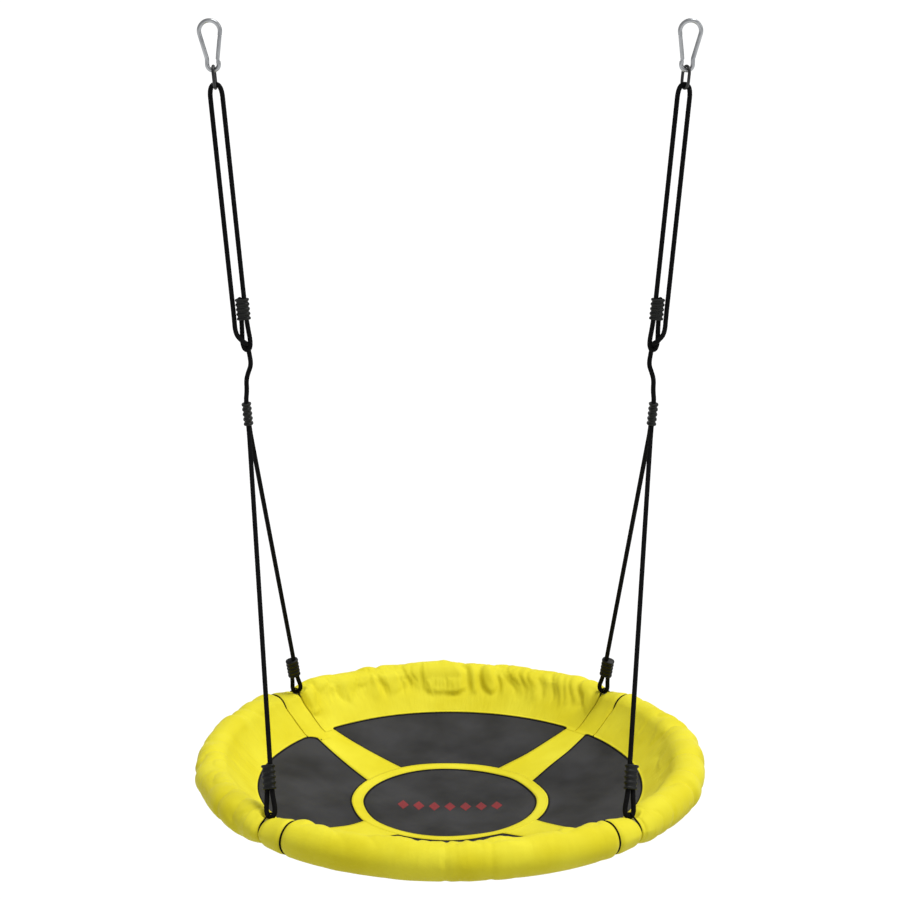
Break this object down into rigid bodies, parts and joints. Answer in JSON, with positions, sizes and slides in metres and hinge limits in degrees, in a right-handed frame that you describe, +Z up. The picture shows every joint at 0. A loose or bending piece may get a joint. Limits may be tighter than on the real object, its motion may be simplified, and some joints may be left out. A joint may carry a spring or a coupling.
{
  "type": "saucer swing",
  "caption": "Round saucer swing: a padded steel ring with a sagging fabric seat, hung by adjustable ropes with moulded ferrules from two snap hooks.",
  "frame": {"origin": "the point midway between the two hanging points, where the snap hooks' upper bows bear on the beam's eyes", "axes": "+Z up, +X to the sitter's right, +Y away from the front; the swing moves fore and aft along Y"},
  "size_m": [0.9512, 0.9511, 1.4366],
  "materials": {
    "yellow_cloth": "coated woven polyester",
    "grey_cloth": "dense woven mesh",
    "black_rope": "braided polypropylene",
    "black_cord": "braided polyester",
    "ferrule_plastic": "moulded, fine texture",
    "zinc_steel": "zinc plated",
    "black_steel": "black coated",
    "tube_steel": "powder coated",
    "rim_foam": "closed-cell foam"
  },
  "bodies": {
    "hooks": {"left_carabiner_body": "zinc_steel", "right_carabiner_body": "zinc_steel"},
    "left_gate": {"left_carabiner_gate": "zinc_steel", "left_gate_rivet": "zinc_steel", "left_gate_spring": "zinc_steel"},
    "left_line": {"left_link": "black_steel", "left_loop_rope": "black_rope", "left_adjuster_ferrule": "ferrule_plastic"},
    "right_gate": {"right_carabiner_gate": "zinc_steel", "right_gate_rivet": "zinc_steel", "right_gate_spring": "zinc_steel"},
    "right_line": {"right_link": "black_steel", "right_loop_rope": "black_rope", "right_adjuster_ferrule": "ferrule_plastic"},
    "right_legs": {"right_front_rope": "black_rope", "right_back_rope": "black_rope", "right_apex_ferrule": "ferrule_plastic", "right_front_ferrule": "ferrule_plastic", "right_back_ferrule": "ferrule_plastic"},
    "seat": {"back_cover": "yellow_cloth", "back_foam": "rim_foam", "back_frame_tube": "tube_steel", "back_panel": "grey_cloth", "centre_panel": "grey_cloth", "frame_screws": "zinc_steel", "front_cover": "yellow_cloth", "front_foam": "rim_foam", "front_frame_tube": "tube_steel", "front_panel": "grey_cloth", "hub_ring": "yellow_cloth", "left_apex_ferrule": "ferrule_plastic", "left_back_arm": "yellow_cloth", "left_back_band": "yellow_cloth", "left_back_drawcord": "black_cord", "left_back_ferrule": "ferrule_plastic", "left_back_rope": "black_rope", "left_back_strop": "black_cord", "left_cover": "yellow_cloth", "left_foam": "rim_foam", "left_frame_tube": "tube_steel", "left_front_arm": "yellow_cloth", "left_front_band": "yellow_cloth", "left_front_drawcord": "black_cord", "left_front_ferrule": "ferrule_plastic", "left_front_rope": "black_rope", "left_front_strop": "black_cord", "left_panel": "grey_cloth", "mat_border": "yellow_cloth", "right_back_arm": "yellow_cloth", "right_back_band": "yellow_cloth", "right_back_drawcord": "black_cord", "right_back_strop": "black_cord", "right_cover": "yellow_cloth", "right_foam": "rim_foam", "right_frame_tube": "tube_steel", "right_front_arm": "yellow_cloth", "right_front_band": "yellow_cloth", "right_front_drawcord": "black_cord", "right_front_strop": "black_cord", "right_panel": "grey_cloth"}
  },
  "joints": [
    {"name": "left_gate_hinge", "type": "hinge", "parent": "hooks", "child": "left_gate", "pos_m": [-0.39617, 0, -0.05885], "axis": [0, -1, 0], "range_deg": [0, 24], "stiffness_Nm_per_rad": 0.3, "springref_deg": -17.19},
    {"name": "left_swing", "type": "hinge", "parent": "hooks", "child": "left_line", "pos_m": [-0.40361, 0, -0.07948], "axis": [1, 0, 0], "range_deg": [-45, 45]},
    {"name": "left_pitch", "type": "hinge", "parent": "left_line", "child": "seat", "pos_m": [-0.35619, 0, -0.60496], "axis": [1, 0, 0], "range_deg": [-20, 20]},
    {"name": "right_gate_hinge", "type": "hinge", "parent": "hooks", "child": "right_gate", "pos_m": [0.39617, 0, -0.05885], "axis": [0, 1, 0], "range_deg": [0, 24], "stiffness_Nm_per_rad": 0.3, "springref_deg": -17.19},
    {"name": "right_swing", "type": "hinge", "parent": "hooks", "child": "right_line", "pos_m": [0.40361, 0, -0.07948], "axis": [1, 0, 0], "range_deg": [-45, 45]},
    {"name": "right_pitch", "type": "hinge", "parent": "right_line", "child": "right_legs", "pos_m": [0.35619, 0, -0.60496], "axis": [1, 0, 0], "range_deg": [-20, 20]}
  ],
  "couplings": [
    {"joint": "right_swing", "follows": "left_swing", "ratio": 1},
    {"joint": "right_pitch", "follows": "left_pitch", "ratio": 1}
  ]
}
